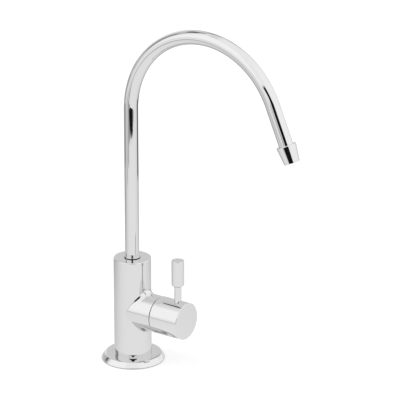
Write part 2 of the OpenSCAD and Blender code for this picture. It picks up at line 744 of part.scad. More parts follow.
module nozzle() {
    r0 = nozzle_top_d / 2;
    r1 = nozzle_mouth_d / 2;
    lean = atan((r0 - r1) / nozzle_len);
    cavity_r = tube_r - nozzle_lip_w;
    color("silver") on_leg(leg_len) rotate_extrude() polygon(concat(
        [[tube_r + face_film, 0]],
        arc([r0 - nozzle_edge_r, nozzle_edge_r], nozzle_edge_r, -90, -lean, 5),
        arc([r1 - nozzle_edge_r, nozzle_len - nozzle_edge_r], nozzle_edge_r, -lean, 90, 5),
        [[cavity_r - nozzle_lip_w, nozzle_len], [cavity_r - nozzle_lip_w, nozzle_len - nozzle_lip_h],
         [cavity_r, nozzle_len - nozzle_lip_h], [cavity_r, tube_in_nozzle],
         [tube_r + face_film, tube_in_nozzle]]));
}

module flow_straightener() {
    r = tube_r - nozzle_lip_w - thread_gap;
    h = nozzle_len - nozzle_lip_h - tube_in_nozzle;
    pitch = (r - straightener_rim) / (straightener_rows + 0.5);
    color("gray") on_leg(leg_len + tube_in_nozzle) difference() {
        cylinder(r = r, h = h);
        for (k = [0:straightener_rows]) for (i = [1:max(1, 6 * k)]) rotate([0, 0, 60 * i / max(1, k)])
            translate([k * pitch, 0, -through]) cylinder(d = straightener_hole_d, h = h + 2 * through);
    }
}

body();
base_flange();
flange_gasket();
shank();
shank_seal();
deck_washer();
lock_washer();
mounting_nut();
inlet_nut();
inlet_ferrule();
cartridge_body();
cartridge_gasket();
seat_seal();
fixed_disc();
moving_disc();
stem();
thrust_washer();
stem_o_rings();
stem_clip();
handle_cap();
grub_screw();
lever();
spout_tube();
spout_spigot();
spigot_o_rings();
spout_clip();
bearing_washer();
nozzle();
flow_straightener();
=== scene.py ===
import json

import bpy
import numpy as np
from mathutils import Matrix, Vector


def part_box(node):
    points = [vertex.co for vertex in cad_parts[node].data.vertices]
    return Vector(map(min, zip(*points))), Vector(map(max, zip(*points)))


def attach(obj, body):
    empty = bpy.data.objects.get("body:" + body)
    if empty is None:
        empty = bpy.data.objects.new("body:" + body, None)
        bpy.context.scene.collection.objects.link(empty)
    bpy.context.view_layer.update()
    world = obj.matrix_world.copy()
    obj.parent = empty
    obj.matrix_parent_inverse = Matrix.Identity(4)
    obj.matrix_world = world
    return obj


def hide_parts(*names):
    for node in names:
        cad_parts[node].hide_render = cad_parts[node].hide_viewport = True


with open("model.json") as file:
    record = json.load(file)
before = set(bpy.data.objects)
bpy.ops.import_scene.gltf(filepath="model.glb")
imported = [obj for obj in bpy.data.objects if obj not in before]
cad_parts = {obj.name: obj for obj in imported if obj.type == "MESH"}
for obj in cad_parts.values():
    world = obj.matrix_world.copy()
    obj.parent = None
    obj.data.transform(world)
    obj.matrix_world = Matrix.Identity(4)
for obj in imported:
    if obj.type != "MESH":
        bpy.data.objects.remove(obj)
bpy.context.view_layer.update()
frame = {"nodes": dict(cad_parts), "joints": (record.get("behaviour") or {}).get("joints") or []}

# Valve body
# A brass casting turned to an upright cylinder, with a side boss for the cartridge. A rolled
# fillet runs the boss into the cylinder, and the whole is polished and plated with bright chrome.
MM = 0.001


def corners(node):
    """Lowest and highest corner of a node of the frame, in millimetres."""
    return np.array([list(corner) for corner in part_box(node)]) / MM


def line(start, end, steps=1):
    """Straight stretch of a profile: rows of radius, place along the axis, and the normal on its right."""
    share = np.linspace(0, 1, steps + 1)[:, None]
    run = np.subtract(end, start)
    normal = np.array([run[1], -run[0]]) / np.hypot(*run)
    return np.hstack([start + share * run, np.repeat(normal[None], steps + 1, 0)])


def arc(centre, radius, first, last, steps=8):
    """Round stretch of a profile between two angles in degrees: hollow where the angle falls."""
    angle = np.radians(np.linspace(first, last, steps + 1))
    outward = np.stack([np.cos(angle), np.sin(angle)], 1)
    return np.hstack([centre + radius * outward, outward * np.sign(last - first)])


def path_of(points):
    """Sharp-cornered profile through the points."""
    return np.vstack([line(a, b) for a, b in zip(points[:-1], points[1:])])


def straight(origin, along, across):
    """Straight axis: gives its place, its direction and two directions across it at each distance."""
    frame_at = np.array([along, across, np.cross(along, across)], float)

    def at(distance):
        place = np.array(origin, float) + distance[:, None] * frame_at[0]
        return place, *np.repeat(frame_at[:, None], len(distance), 1)

    return at


def turned(profile, axis, angles):
    """Profile carried round an axis: place + r (cos a across + sin a aside), with its exact normals."""
    place, along, across, aside = (part[:, None] for part in axis(profile[:, 1]))
    radial = np.cos(angles)[:, None] * across + np.sin(angles)[:, None] * aside
    radius, outwards, upwards = (profile[:, k, None, None] for k in (0, 2, 3))
    return place + radius * radial, outwards * radial + upwards * along


def rectangle(u, v):
    """Closed outline of a rectangle, anticlockwise from its lowest corner through the samples u and v."""
    low, right = np.stack([u, 0 * u + v[0]], 1), np.stack([0 * v + u[-1], v], 1)
    high, left = np.stack([u[::-1], 0 * u + v[-1]], 1), np.stack([0 * v + u[0], v[::-1]], 1)
    return np.vstack([low, right[1:], high[1:], left[1:]])


def holed(hole, outline, steps):
    """Flat sheet with a hole: each point of the hole's edge runs straight to its point of the outline."""
    share = np.linspace(0, 1, steps + 1)[:, None, None]
    return hole + share * (outline - hole)


WELD_DIGITS = 5


def piece(name, patches, material, body, slot, *nodes):
    """Joins grids of points and normals, in millimetres, into one closed mesh that stands for the nodes.
    Points that coincide become one vertex, and each face keeps the exact normals of its own grid."""
    points = np.concatenate([grid.reshape(-1, 3) for grid, _ in patches])
    normals = np.concatenate([grid.reshape(-1, 3) for _, grid in patches])
    _, first, joined = np.unique(points.round(WELD_DIGITS) + 0.0, axis=0,
                                 return_index=True, return_inverse=True)
    quads, start = [], 0
    for grid, _ in patches:
        rows, columns = grid.shape[:2]
        index = start + np.arange(rows * columns).reshape(rows, columns)
        face_corners = [index[:-1, :-1], index[:-1, 1:], index[1:, 1:], index[1:, :-1]]
        faces = np.stack(face_corners, -1).reshape(-1, 4)
        a, b, c, d = points[faces].swapaxes(0, 1)
        facing = (np.cross(c - a, d - b) * normals[faces].sum(1)).sum()
        quads.append(faces if facing > 0 else faces[:, ::-1])
        start += rows * columns
    quads = np.concatenate(quads)
    welded = joined.reshape(-1)[quads]
    kept = welded != np.roll(welded, -1, axis=1)
    whole = kept.sum(1) > 2
    sides = kept[whole].sum(1)
    loops = welded[whole][kept[whole]]
    mesh = bpy.data.meshes.new(name)
    mesh.vertices.add(len(first))
    mesh.vertices.foreach_set("co", (points[first] * MM).ravel())
    mesh.loops.add(len(loops))
    mesh.loops.foreach_set("vertex_index", loops)
    mesh.polygons.add(len(sides))
    mesh.polygons.foreach_set("loop_start", np.cumsum(sides) - sides)
    mesh.update(calc_edges=True)
    mesh.normals_split_custom_set(normals[quads[whole][kept[whole]]])
    mesh.materials.append(material)
    made = bpy.data.objects.new(name, mesh)
    bpy.context.scene.collection.objects.link(made)
    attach(made, body)
    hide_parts(*nodes)
    return made


def linear(colour):
    """sRGB hex colour as linear RGBA."""
    srgb = np.array([int(colour[k:k + 2], 16) for k in (1, 3, 5)]) / 255
    return (*np.where(srgb <= 0.04045, srgb / 12.92, ((srgb + 0.055) / 1.055) ** 2.4), 1)


def add(tree, kind, inputs, **settings):
    """Adds a node, sets its properties, and sets or links each of its sockets."""
    node = tree.nodes.new(kind)
    for name, value in settings.items():
        setattr(node, name, value)
    for socket, value in inputs.items():
        if isinstance(value, bpy.types.NodeSocket):
            tree.links.new(value, node.inputs[socket])
        else:
            node.inputs[socket].default_value = value
    return node


def blank(name):
    """New material with only its shader, and the object's own coordinates."""
    material = bpy.data.materials.new(name)
    material.use_nodes = True
    tree = material.node_tree
    place = add(tree, "ShaderNodeTexCoord", {}).outputs["Object"]
    return material, tree, tree.nodes["Principled BSDF"], place


# Bright chrome plate on polished brass: a mirror, with the faint cloudiness that buffing leaves.
chrome, tree, shader, place = blank("bright_chrome_plate")
CHROME = "#dadada"
BUFFING_MM = 9
CHROME_ROUGH = (0.02, 0.05)
cloud = add(tree, "ShaderNodeTexNoise", {"Vector": place, "Scale": 1 / (BUFFING_MM * MM), "Detail": 3})
haze = add(tree, "ShaderNodeMapRange", {"Value": cloud.outputs["Fac"],
                                        "To Min": CHROME_ROUGH[0], "To Max": CHROME_ROUGH[1]})
shader.inputs["Base Color"].default_value = linear(CHROME)
shader.inputs["Metallic"].default_value = 1
tree.links.new(haze.outputs["Result"], shader.inputs["Roughness"])

TURN_STEPS = 192
TURN = np.radians(np.linspace(-180, 180, TURN_STEPS + 1))
UP = straight((0, 0, 0), (0, 0, 1), (1, 0, 0))
valve_z = frame["joints"][0]["pos_m"][2] / MM
VALVE = straight((0, 0, valve_z), (1, 0, 0), (0, 1, 0))

body_low, body_high = corners("body")
body_r = body_high[1]
foot_z, top_z = body_low[2], body_high[2]
boss_face_x = body_high[0]
BODY_EDGE_R = 0.6
BOSS_R = 13.1
BOSS_EDGE_R = 0.25
FILLET_R = 4
FILLET_STEPS = 16
SIDE_ROWS = 48
SHEET_STEPS = 40
BOSS_ROWS = 7
SHANK_BORE = (6, 19.2)
SPOUT_BORE = (5.55, 58)
CARTRIDGE_BORE = (8.4, 15)
VALVE_CHAMBER = (7.9, 5)

# The ball that rolls the fillet touches both cylinders, so its centre is a known distance from each axis.
outline = rectangle(TURN, np.linspace(foot_z, top_z - BODY_EDGE_R, SIDE_ROWS + 1))
round_boss = np.unwrap(np.arctan2((outline[:, 1] - valve_z) / (top_z - valve_z), outline[:, 0] / np.pi))
ball_y, ball_z = (BOSS_R + FILLET_R) * np.array([np.cos(round_boss), np.sin(round_boss)])
ball_x = np.sqrt((body_r + FILLET_R) ** 2 - ball_y ** 2)
ball = np.stack([ball_x, ball_y, valve_z + ball_z], 1)
to_body = np.stack([-ball_x, -ball_y, 0 * ball_x], 1) / (body_r + FILLET_R)
to_boss = np.stack([0 * ball_x, -np.cos(round_boss), -np.sin(round_boss)], 1)

sheet = holed(np.stack([np.arctan2(ball_y, ball_x), ball[:, 2]], 1), outline, SHEET_STEPS)
radial = np.stack([np.cos(sheet[..., 0]), np.sin(sheet[..., 0]), 0 * sheet[..., 0]], -1)
body_side = body_r * radial + sheet[..., 1:] * [0, 0, 1], radial

bend = np.arccos((to_body * to_boss).sum(1))[:, None]
share = np.linspace(0, 1, FILLET_STEPS + 1)[:, None, None]
reach = (np.sin((1 - share) * bend) * to_body + np.sin(share * bend) * to_boss) / np.sin(bend)
fillet = ball + FILLET_R * reach, -reach

boss_x = ball_x + np.linspace(0, 1, BOSS_ROWS)[:, None] * (boss_face_x - BOSS_EDGE_R - ball_x)
boss_side = (boss_x[..., None] * [1, 0, 0] - BOSS_R * to_boss + [0, 0, valve_z],
             np.repeat(-to_boss[None], BOSS_ROWS, 0))

boss_end = np.vstack([
    arc((BOSS_R - BOSS_EDGE_R, boss_face_x - BOSS_EDGE_R), BOSS_EDGE_R, 0, 90),
    path_of([(BOSS_R - BOSS_EDGE_R, boss_face_x), (CARTRIDGE_BORE[0], boss_face_x), CARTRIDGE_BORE,
             (VALVE_CHAMBER[0], CARTRIDGE_BORE[1]), VALVE_CHAMBER, (0, VALVE_CHAMBER[1])])])
body_top = np.vstack([
    arc((body_r - BODY_EDGE_R, top_z - BODY_EDGE_R), BODY_EDGE_R, 0, 90),
    path_of([(body_r - BODY_EDGE_R, top_z), (SPOUT_BORE[0], top_z), SPOUT_BORE, (0, SPOUT_BORE[1])])])
body_foot = path_of([(0, SHANK_BORE[1]), SHANK_BORE, (SHANK_BORE[0], foot_z), (body_r, foot_z)])
piece("valve_body", [body_side, fillet, boss_side, turned(boss_end, VALVE, round_boss),
                     turned(body_top, UP, TURN), turned(body_foot, UP, TURN)],
      chrome, "tap", "chrome", "body")

# Base flange
# A turned brass ring under the body, with a gently crowned top, a bevelled edge and a recess
# for the gasket beneath. It is plated with the body and held by the shank.
flange_high = corners("base_flange")[1]
flange_r = flange_high[0]
FLANGE_BORE_R = 6.2
RECESS = (18.6, 2.6)
CROWN_R = 17.4
CROWN_END_R = 18.7
CROWN_INNER_R = 44.5
SHOULDER_R = 20.5
CROWN_OUTER_R = 5.38
BEVEL_R = 18
EDGE_R = 0.6
EDGE_END = 25
FLANGE_STEPS = 12


def bow(start, end, radius):
    """Round stretch of a profile between two points that bulges to the right of its way."""
    half = np.subtract(end, start) / 2
    chord = np.hypot(*half)
    centre = start + half + np.array([-half[1], half[0]]) / chord * np.sqrt(radius ** 2 - chord ** 2)
    first, last = (np.degrees(np.arctan2(*(point - centre)[::-1])) for point in (start, end))
    return arc(centre, radius, first, last, FLANGE_STEPS)


crown_z = flange_high[2]
edge = arc((flange_r - EDGE_R, EDGE_R), EDGE_R, -90, EDGE_END, FLANGE_STEPS)
outer_fall = np.degrees(np.arcsin((SHOULDER_R - CROWN_END_R) / CROWN_OUTER_R))
inner_fall = np.degrees(np.arcsin((CROWN_R - body_r) / CROWN_INNER_R))
outer_centre = (CROWN_END_R, crown_z - CROWN_OUTER_R)
inner_centre = (CROWN_R, crown_z - CROWN_INNER_R)
outer_top = arc(outer_centre, CROWN_OUTER_R, 90 - outer_fall, 90, FLANGE_STEPS)
inner_top = arc(inner_centre, CROWN_INNER_R, 90, 90 + inner_fall, FLANGE_STEPS)
flange = np.vstack([
    path_of([RECESS, (RECESS[0], 0), edge[0, :2]]),
    edge, bow(edge[-1, :2], outer_top[0, :2], BEVEL_R), outer_top,
    line(outer_top[-1, :2], inner_top[0, :2]), inner_top,
    path_of([inner_top[-1, :2], (FLANGE_BORE_R, foot_z), (FLANGE_BORE_R, RECESS[1]), RECESS])])
piece("base_flange_ring", [turned(flange, UP, TURN)], chrome, "tap", "chrome", "base_flange")

# Gasket and seals
# A flat ring of moulded rubber in the flange's recess, and a ring at the shank's thread: both
# are squeezed when the nut is tightened and keep water off the worktop.


def dress(material, *nodes):
    """Gives the material to nodes of the frame that are shown as they are."""
    for name in nodes:
        mesh = frame["nodes"][name].data
        mesh.materials.clear()
        mesh.materials.append(material)


# Moulded black rubber: nearly matt, with a fine grain that breaks up the light.
rubber, tree, shader, place = blank("moulded_rubber")
RUBBER = "#1d1d1e"
RUBBER_GRAIN_MM = 0.35
RUBBER_ROUGH = (0.55, 0.8)
RUBBER_BUMP = 0.3
RUBBER_BUMP_MM = 0.03
grain = add(tree, "ShaderNodeTexNoise", {"Vector": place, "Scale": 1 / (RUBBER_GRAIN_MM * MM), "Detail": 4})
dull = add(tree, "ShaderNodeMapRange", {"Value": grain.outputs["Fac"],
                                        "To Min": RUBBER_ROUGH[0], "To Max": RUBBER_ROUGH[1]})
bump = add(tree, "ShaderNodeBump", {"Height": grain.outputs["Fac"], "Strength": RUBBER_BUMP,
                                    "Distance": RUBBER_BUMP_MM * MM})
shader.inputs["Base Color"].default_value = linear(RUBBER)
tree.links.new(dull.outputs["Result"], shader.inputs["Roughness"])
tree.links.new(bump.outputs["Normal"], shader.inputs["Normal"])
dress(rubber, "flange_gasket", "shank_seal", "seat_seal", "stem_o_rings", "spigot_o_rings")

# Shank
# A turned brass tube with a fine rolled thread from end to end. It screws up into the body, and
# its lower end is bored and coned for the supply tube and its ferrule.
# Turned brass: yellow metal with fine rings left by the tool, which draw the light into bands.
brass, tree, shader, place = blank("turned_brass")
BRASS = "#d9b871"
TOOL_RINGS_MM = 0.12
RING_WANDER_MM = 250
BRASS_ROUGH = (0.22, 0.4)
BRASS_BUMP = 0.15
BRASS_BUMP_MM = 0.02
rings = add(tree, "ShaderNodeMapping", {"Vector": place, "Scale": (1 / (RING_WANDER_MM * MM),
                                                                   1 / (RING_WANDER_MM * MM),
                                                                   1 / (TOOL_RINGS_MM * MM))})
marks = add(tree, "ShaderNodeTexNoise", {"Vector": rings.outputs["Vector"], "Scale": 1, "Detail": 2})
sheen = add(tree, "ShaderNodeMapRange", {"Value": marks.outputs["Fac"],
                                         "To Min": BRASS_ROUGH[0], "To Max": BRASS_ROUGH[1]})
bump = add(tree, "ShaderNodeBump", {"Height": marks.outputs["Fac"], "Strength": BRASS_BUMP,
                                    "Distance": BRASS_BUMP_MM * MM})
shader.inputs["Base Color"].default_value = linear(BRASS)
shader.inputs["Metallic"].default_value = 1
tree.links.new(sheen.outputs["Result"], shader.inputs["Roughness"])
tree.links.new(bump.outputs["Normal"], shader.inputs["Normal"])

shank_low, shank_high = corners("shank")
shank_r = shank_high[0]
THREAD_PITCH = 1.27
THREAD_DEPTH = 0.62
THREAD_LEAD_IN = 1.5
THREAD_SAMPLES = 10
WATERWAY_R = 3
TUBE_SOCKET = (3.25, 14)
FERRULE_CONE = (4.65, 1.6)


def thread(low, high, angles):
    """Rolled thread: r = root + depth (1 + cos(2 pi s / pitch - a)) / 2, faded to its root at both ends."""
    s = np.linspace(low, high, int((high - low) / THREAD_PITCH * THREAD_SAMPLES))[:, None]
    fade = np.clip(np.minimum(s - low, high - s) / THREAD_LEAD_IN, 0, 1)
    wave = 2 * np.pi * s / THREAD_PITCH - angles
    radius = shank_r - THREAD_DEPTH + fade * THREAD_DEPTH * (1 + np.cos(wave)) / 2
    points = np.stack([radius * np.cos(angles), radius * np.sin(angles), s + 0 * wave], -1)
    along, around = np.gradient(points, axis=(0, 1))
    around[:, 0] = around[:, -1] = (points[:, 1] - points[:, -2]) / 2
    normals = np.cross(around, along)
    return points, normals / np.linalg.norm(normals, axis=-1, keepdims=True)


shank_turn = TURN[::3]
root_r = shank_r - THREAD_DEPTH
socket_top = shank_low[2] + TUBE_SOCKET[1]
shank_ends = path_of([(root_r, shank_high[2]), (WATERWAY_R, shank_high[2]), (WATERWAY_R, socket_top),
                      (TUBE_SOCKET[0], socket_top), (TUBE_SOCKET[0], shank_low[2] + FERRULE_CONE[1]),
                      (FERRULE_CONE[0], shank_low[2]), (root_r, shank_low[2])])
shank_side = thread(shank_low[2], shank_high[2], shank_turn)
piece("threaded_shank", [shank_side, turned(shank_ends, UP, shank_turn)], brass, "tap", "brass", "shank")

# Deck washer, lock washer and mounting nut
# A nylon washer, a toothed steel washer and a brass nut clamp the worktop between themselves and
# the flange. The nut is cut from hexagon bar and chamfered on both faces.
# Moulded black nylon: a soft satin, with the fine texture of its mould.
black_nylon, tree, shader, place = blank("black_nylon")
BLACK_NYLON = "#171718"
MOULD_MM = 0.25
SATIN_ROUGH = (0.38, 0.55)
MOULD_BUMP = 0.2
MOULD_BUMP_MM = 0.02
texture = add(tree, "ShaderNodeTexNoise", {"Vector": place, "Scale": 1 / (MOULD_MM * MM), "Detail": 2})
satin = add(tree, "ShaderNodeMapRange", {"Value": texture.outputs["Fac"],
                                         "To Min": SATIN_ROUGH[0], "To Max": SATIN_ROUGH[1]})
bump = add(tree, "ShaderNodeBump", {"Height": texture.outputs["Fac"], "Strength": MOULD_BUMP,
                                    "Distance": MOULD_BUMP_MM * MM})
shader.inputs["Base Color"].default_value = linear(BLACK_NYLON)
tree.links.new(satin.outputs["Result"], shader.inputs["Roughness"])
tree.links.new(bump.outputs["Normal"], shader.inputs["Normal"])
dress(black_nylon, "deck_washer", "bearing_washer")

# Zinc plated steel: grey metal with the cloudy spangle of the plating.
steel, tree, shader, place = blank("zinc_plated_steel")
ZINC = "#b7babd"
SPANGLE_MM = 1.2
ZINC_ROUGH = (0.25, 0.42)
cells = add(tree, "ShaderNodeTexVoronoi", {"Vector": place, "Scale": 1 / (SPANGLE_MM * MM)})
tone = add(tree, "ShaderNodeSeparateColor", {"Color": cells.outputs["Color"]})
cloudy = add(tree, "ShaderNodeMapRange", {"Value": tone.outputs["Red"],
                                          "To Min": ZINC_ROUGH[0], "To Max": ZINC_ROUGH[1]})
shader.inputs["Base Color"].default_value = linear(ZINC)
shader.inputs["Metallic"].default_value = 1
tree.links.new(cloudy.outputs["Result"], shader.inputs["Roughness"])
dress(steel, "lock_washer", "stem_clip", "grub_screw")

NUT_FACE = 0.95
NUT_CHAMFER = np.radians(30)
NUT_BORE_R = 6
FLAT_SAMPLES = 17


def nut(low, high, bore):
    """Hexagon nut by flats: r = flat / cos(a) out to the corners, cut by a cone at both faces,
    with its bore."""
    flat = (high[1] - low[1]) / 2
    rim = NUT_FACE * flat
    a = np.radians(np.linspace(-30, 30, FLAT_SAMPLES))
    corner = flat / np.cos(a)
    rise = (corner - rim) * np.tan(NUT_CHAMFER)
    radius = np.stack([rim + 0 * a, corner, corner, rim + 0 * a])
    z = np.stack([low[2] + 0 * a, low[2] + rise, high[2] - rise, high[2] + 0 * a])
    patches = []
    for middle in np.radians(np.arange(30, 390, 60)):
        out = np.stack([np.cos(middle + a), np.sin(middle + a), 0 * a], -1)
        points = radius[..., None] * out + z[..., None] * [0, 0, 1]
        square = np.repeat([[np.cos(middle), np.sin(middle), 0]], FLAT_SAMPLES, 0)
        for rows, face in (((0, 1), (np.sin(NUT_CHAMFER), -np.cos(NUT_CHAMFER))), ((1, 2), None),
                           ((2, 3), (np.sin(NUT_CHAMFER), np.cos(NUT_CHAMFER)))):
            normal = square if face is None else face[0] * out + [0, 0, face[1]]
            patches.append((points[list(rows)], np.repeat(normal[None], 2, 0)))
        ends = path_of([(rim, high[2]), *bore, (rim, low[2])])
        patches.append(turned(ends, UP, middle + a))
    return patches


nut_low, nut_high = corners("mounting_nut")
nut_bore = [(NUT_BORE_R, nut_high[2]), (NUT_BORE_R, nut_low[2])]
piece("hexagon_nut", nut(nut_low, nut_high, nut_bore), brass, "tap", "brass", "mounting_nut")

# Inlet nut and ferrule
# A deeper brass nut of the same make closes the shank's lower end and presses a nylon ferrule
# on the supply tube.
# Moulded white nylon: milky and faintly uneven, with a soft shine.
white_nylon, tree, shader, place = blank("white_nylon")
MILKY = ("#e9e7df", "#dedcd2")
MILKY_MM = 3
MILKY_ROUGH = 0.4
cloud = add(tree, "ShaderNodeTexNoise", {"Vector": place, "Scale": 1 / (MILKY_MM * MM), "Detail": 2})
tint = add(tree, "ShaderNodeValToRGB", {"Fac": cloud.outputs["Fac"]})
tint.color_ramp.elements[0].color = linear(MILKY[0])
tint.color_ramp.elements[1].color = linear(MILKY[1])
tree.links.new(tint.outputs["Color"], shader.inputs["Base Color"])
shader.inputs["Roughness"].default_value = MILKY_ROUGH
dress(white_nylon, "inlet_ferrule", "thrust_washer", "spout_clip")

inlet_low, inlet_high = corners("inlet_nut")
INLET_WALL = 4.5
inlet_step = inlet_low[2] + INLET_WALL
inlet_bore = [(NUT_BORE_R, inlet_high[2]), (NUT_BORE_R, inlet_step), (TUBE_SOCKET[0], inlet_step),
              (TUBE_SOCKET[0], inlet_low[2])]
piece("inlet_hexagon_nut", nut(inlet_low, inlet_high, inlet_bore), brass, "tap", "brass", "inlet_nut")

# Cartridge
# A brass cartridge screwed into the boss holds two lapped ceramic discs, keyed so that one stays
# and the spindle turns the other. A fibre ring seals it against the boss.
dress(brass, "cartridge_body", "stem")

# Lapped alumina: off-white, close-grained, with a low even shine.
ceramic, tree, shader, place = blank("lapped_ceramic")
CERAMIC = "#ece7da"
LAPPING_MM = 0.2
CERAMIC_ROUGH = (0.18, 0.3)
lapping = add(tree, "ShaderNodeTexNoise", {"Vector": place, "Scale": 1 / (LAPPING_MM * MM), "Detail": 3})
shine = add(tree, "ShaderNodeMapRange", {"Value": lapping.outputs["Fac"],
                                         "To Min": CERAMIC_ROUGH[0], "To Max": CERAMIC_ROUGH[1]})
shader.inputs["Base Color"].default_value = linear(CERAMIC)
tree.links.new(shine.outputs["Result"], shader.inputs["Roughness"])
dress(ceramic, "fixed_disc", "moving_disc")

# Red sealing fibre: matt, with its fibres showing as short darker streaks.
fibre, tree, shader, place = blank("sealing_fibre")
FIBRE = ("#6e2418", "#8d3a28")
FIBRE_MM = (0.2, 1.5, 0.2)
FIBRE_ROUGH = 0.9
strands = add(tree, "ShaderNodeMapping", {"Vector": place, "Scale": 1 / (np.array(FIBRE_MM) * MM)})
streaks = add(tree, "ShaderNodeTexNoise", {"Vector": strands.outputs["Vector"], "Scale": 1, "Detail": 3})
tint = add(tree, "ShaderNodeValToRGB", {"Fac": streaks.outputs["Fac"]})
tint.color_ramp.elements[0].color = linear(FIBRE[0])
tint.color_ramp.elements[1].color = linear(FIBRE[1])
tree.links.new(tint.outputs["Color"], shader.inputs["Base Color"])
shader.inputs["Roughness"].default_value = FIBRE_ROUGH
dress(fibre, "cartridge_gasket")

# Handle
# A turned brass cap, chrome plated, pushed on the spindle's serrations. Its skirt covers the
# cartridge, the lever screws into its top, and a grub screw from below locks it.
cap_low, cap_high = corners("handle_cap")
cap_r = cap_high[1]
skirt_x, end_x = cap_low[0], cap_high[0]
lever_low, lever_high = corners("lever")
lever_x = (lever_low[0] + lever_high[0]) / 2
grub_low, grub_high = corners("grub_screw")
grub_x = (grub_low[0] + grub_high[0]) / 2
CAP_EDGE_R = 0.5
SKIRT_BREAK = 0.2
SKIRT_WALL = 1.9
WEB_X = 32.2
LEVER_HOLE = (2.6, 13)
LEVER_THREAD = (2.05, 5.9)
GRUB_HOLE = (2.05, 4)
CAP_ROWS = 33

cap_rows = np.linspace(skirt_x + SKIRT_BREAK, end_x - CAP_EDGE_R, CAP_ROWS)


def cap_half(first, last, hole_x, hole_r, floor):
    """Half of the cap's side between two angles, with a round hole square to the axis in its middle."""
    edge = rectangle(cap_rows, np.linspace(first, last, TURN_STEPS // 2 + 1))
    middle = (first + last) / 2
    around, along = (edge[:, 1] - middle) / np.pi, (edge[:, 0] - hole_x) / (end_x - skirt_x)
    way = np.unwrap(np.arctan2(around, along))
    lean = np.arcsin(hole_r * np.sin(way) / cap_r)
    flat = holed(np.stack([hole_x + hole_r * np.cos(way), middle + lean], 1), edge, SHEET_STEPS)
    out = np.stack([0 * flat[..., 1], np.cos(flat[..., 1]), np.sin(flat[..., 1])], -1)
    side = flat[..., :1] * [1, 0, 0] + cap_r * out + [0, 0, valve_z], out
    height = np.stack([cap_r * np.cos(lean), 0 * lean + floor])
    upwards = np.array([0, np.cos(middle), np.sin(middle)])
    aside = np.array([0, -np.sin(middle), np.cos(middle)])
    inward = -np.cos(way)[:, None] * [1, 0, 0] - np.sin(way)[:, None] * aside
    ring = [hole_x, 0, valve_z] - hole_r * inward
    wall = ring + height[..., None] * upwards, np.repeat(inward[None], 2, 0)
    return side, wall, way


top_side, top_wall, lever_way = cap_half(0, np.pi, lever_x, *LEVER_HOLE)
low_side, low_wall, grub_way = cap_half(np.pi, 2 * np.pi, grub_x, *GRUB_HOLE)
lever_seat = path_of([(0, LEVER_THREAD[1]), LEVER_THREAD, (LEVER_THREAD[0], LEVER_HOLE[1]), LEVER_HOLE])
lever_seat[:, 2:] *= -1
grub_floor = -path_of([(0, GRUB_HOLE[1]), GRUB_HOLE])[:, 2:]
grub_end = np.hstack([[[0, GRUB_HOLE[1]], GRUB_HOLE], grub_floor])
cap_turn = np.linspace(0, 2 * np.pi, TURN_STEPS + 1)
cap_end = np.vstack([arc((cap_r - CAP_EDGE_R, end_x - CAP_EDGE_R), CAP_EDGE_R, 0, 90),
                     line((cap_r - CAP_EDGE_R, end_x), (0, end_x))])
cap_skirt = path_of([(0, WEB_X), (cap_r - SKIRT_WALL, WEB_X), (cap_r - SKIRT_WALL, skirt_x),
                     (cap_r - SKIRT_BREAK, skirt_x), (cap_r, skirt_x + SKIRT_BREAK)])
lever_axis = straight((lever_x, 0, valve_z), (0, 0, 1), (1, 0, 0))
grub_axis = straight((grub_x, 0, valve_z), (0, 0, -1), (1, 0, 0))
piece("handle_cap_shell", [top_side, top_wall, low_side, low_wall,
                           turned(lever_seat, lever_axis, -lever_way),
                           turned(grub_end, grub_axis, -grub_way),
                           turned(cap_end, VALVE, cap_turn), turned(cap_skirt, VALVE, cap_turn)],
      chrome, "handle", "chrome", "handle_cap")

# Lever
# One turned brass pin, chrome plated: a threaded end, a slim stem and a thicker grip with a
# small chamfer below. It screws into the top of the handle.
grip_r = (lever_high[0] - lever_low[0]) / 2
grip_top, pin_end = lever_high[2] - valve_z, lever_low[2] - valve_z
STEM_R = 2.55
PIN_R = 2
GRIP_LENGTH = 18.2
GRIP_CHAMFER = 1
GRIP_EDGE_R = 0.35
grip_foot = grip_top - GRIP_LENGTH
lever = np.vstack([
    path_of([(0, pin_end), (PIN_R, pin_end), (PIN_R, LEVER_HOLE[1]), (STEM_R, LEVER_HOLE[1]),
             (STEM_R, grip_foot - GRIP_CHAMFER), (grip_r - GRIP_CHAMFER, grip_foot - GRIP_CHAMFER),
             (grip_r, grip_foot), (grip_r, grip_top - GRIP_EDGE_R)]),
    arc((grip_r - GRIP_EDGE_R, grip_top - GRIP_EDGE_R), GRIP_EDGE_R, 0, 90),
    line((grip_r - GRIP_EDGE_R, grip_top), (0, grip_top))])
piece("lever_pin", [turned(lever, lever_axis, TURN)], chrome, "handle", "chrome", "lever")

# Spout tube
# Drawn brass tube, bent round a former into a gooseneck, polished and chrome plated. Its lower
# end is brazed into the spigot and its upper end carries the nozzle.
tube_low, tube_high = corners("spout_tube")
tube_r = -tube_low[0]
TUBE_WALL = 1.1
BEND_R = 61.7
BEND_ANGLE = np.radians(156.7)
LEG_LENGTH = 28.2
TUBE_IN_NOZZLE = 6
TUBE_STEPS = (2, 200, 2)
bend_z = tube_high[2] - BEND_R - tube_r
bend_end = bend_z + BEND_R * BEND_ANGLE
nozzle_start = bend_end + LEG_LENGTH


def gooseneck(distance):
    """Riser, bend and leg by the distance along them: a circle's point, and straight on past its ends."""
    turn = np.clip((distance - bend_z) / BEND_R, 0, BEND_ANGLE)
    zero = 0 * turn
    along = np.stack([np.sin(turn), zero, np.cos(turn)], 1)
    across = np.stack([np.cos(turn), zero, -np.sin(turn)], 1)
    past = (distance - bend_z - BEND_R * turn)[:, None]
    centre = np.array([BEND_R, 0, bend_z]) - BEND_R * across
    return centre + past * along, along, across, np.stack([zero, zero + 1, zero], 1)


